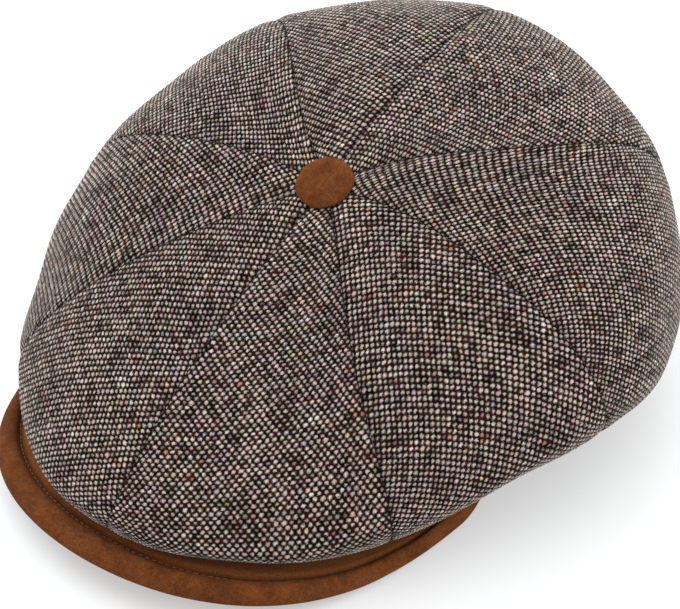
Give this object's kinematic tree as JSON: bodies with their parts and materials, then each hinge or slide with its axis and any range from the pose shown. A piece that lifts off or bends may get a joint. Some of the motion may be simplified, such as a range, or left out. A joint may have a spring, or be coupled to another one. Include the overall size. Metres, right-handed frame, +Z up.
{
  "type": "flat cap",
  "caption": "Puffed flat cap of wedge panels meeting at a covered button, with a headband and a covered, arched visor",
  "frame": {"origin": "bottom centre of the cap's bounding box, on the surface that the headband rests on", "axes": "+Z up, visor towards -Y, +X towards the wearer's left"},
  "size_m": [0.266, 0.2996, 0.1242],
  "materials": {
    "tweed": "coarse plain-weave wool tweed, dark warp and pale grey, cream and pinkish weft with coloured flecks, matt",
    "suede": "warm brown suede with a short nap, matt"
  },
  "bodies": {
    "root": {"crown_front_left": "tweed", "crown_temple_left": "tweed", "crown_side_left": "tweed", "crown_back_left": "tweed", "crown_back_right": "tweed", "crown_side_right": "tweed", "crown_temple_right": "tweed", "crown_front_right": "tweed", "headband": "tweed", "visor": "suede", "button": "suede"}
  },
  "joints": []
}
